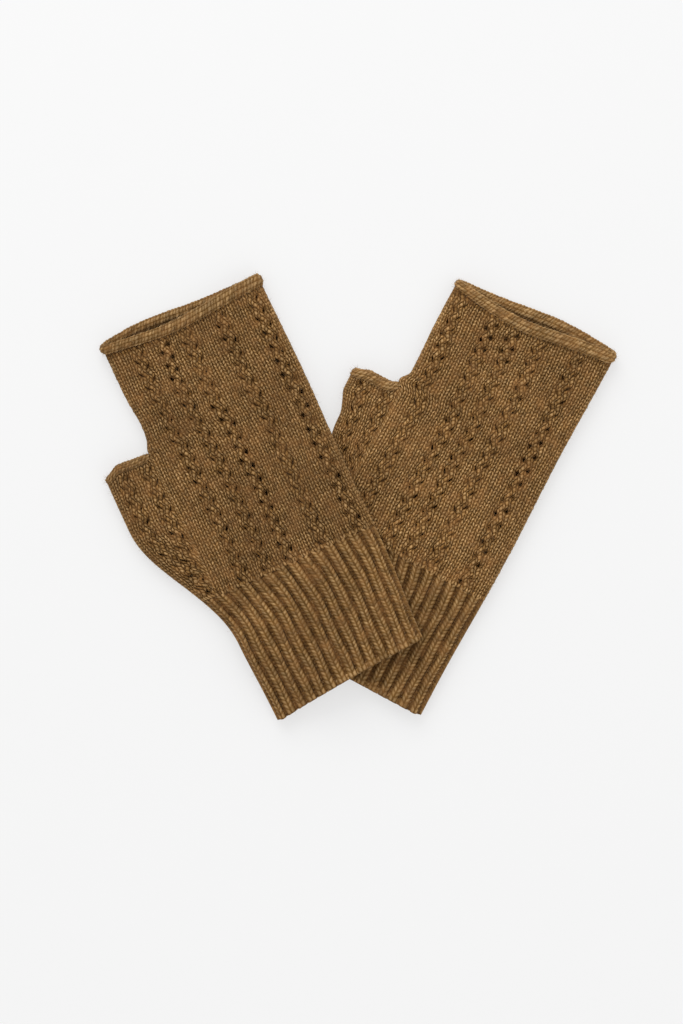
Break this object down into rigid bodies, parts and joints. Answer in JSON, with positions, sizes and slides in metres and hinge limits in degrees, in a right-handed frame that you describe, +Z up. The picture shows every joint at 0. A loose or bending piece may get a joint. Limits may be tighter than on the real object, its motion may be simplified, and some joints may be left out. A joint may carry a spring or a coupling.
{
  "type": "fingerless gloves",
  "caption": "Crossed pair of long fingerless gloves in wool knit, with lace hands, thumb gussets, rolled finger and thumb edges and ribbed cuffs.",
  "frame": {"origin": "on the surface that the pair lies on, under the middle of the pair's box", "axes": "+Z up, +Y towards the finger ends of the crossed pair, +X to the right as seen from above with the fingers away"},
  "size_m": [0.2544, 0.2191, 0.0191],
  "materials": {
    "lace_knit": "soft matte wool, camel brown melange, knitted with eyelet bands",
    "rib_knit": "soft matte wool, camel brown melange, one by one rib",
    "rolled_edge": "soft matte wool, curled edge showing the reverse of the knitting",
    "cast_on_edge": "soft matte wool, twisted cast-on edge"
  },
  "bodies": {
    "under_glove": {"under_glove_cuff_front": "rib_knit", "under_glove_cuff_back": "rib_knit", "under_glove_hand_front": "lace_knit", "under_glove_hand_back": "lace_knit", "under_glove_knuckles_front": "lace_knit", "under_glove_knuckles_back": "lace_knit", "under_glove_thumb_front": "lace_knit", "under_glove_thumb_back": "lace_knit", "under_glove_wrist_edge": "cast_on_edge", "under_glove_finger_roll": "rolled_edge", "under_glove_thumb_roll": "rolled_edge"},
    "top_glove": {"top_glove_cuff_front": "rib_knit", "top_glove_cuff_back": "rib_knit", "top_glove_hand_front": "lace_knit", "top_glove_hand_back": "lace_knit", "top_glove_knuckles_front": "lace_knit", "top_glove_knuckles_back": "lace_knit", "top_glove_thumb_front": "lace_knit", "top_glove_thumb_back": "lace_knit", "top_glove_wrist_edge": "cast_on_edge", "top_glove_finger_roll": "rolled_edge", "top_glove_thumb_roll": "rolled_edge"}
  },
  "joints": [
    {"name": "top_glove_lift", "type": "slide", "parent": "under_glove", "child": "top_glove", "axis": [0, 0, 1], "range_m": [0, 0.15]}
  ]
}
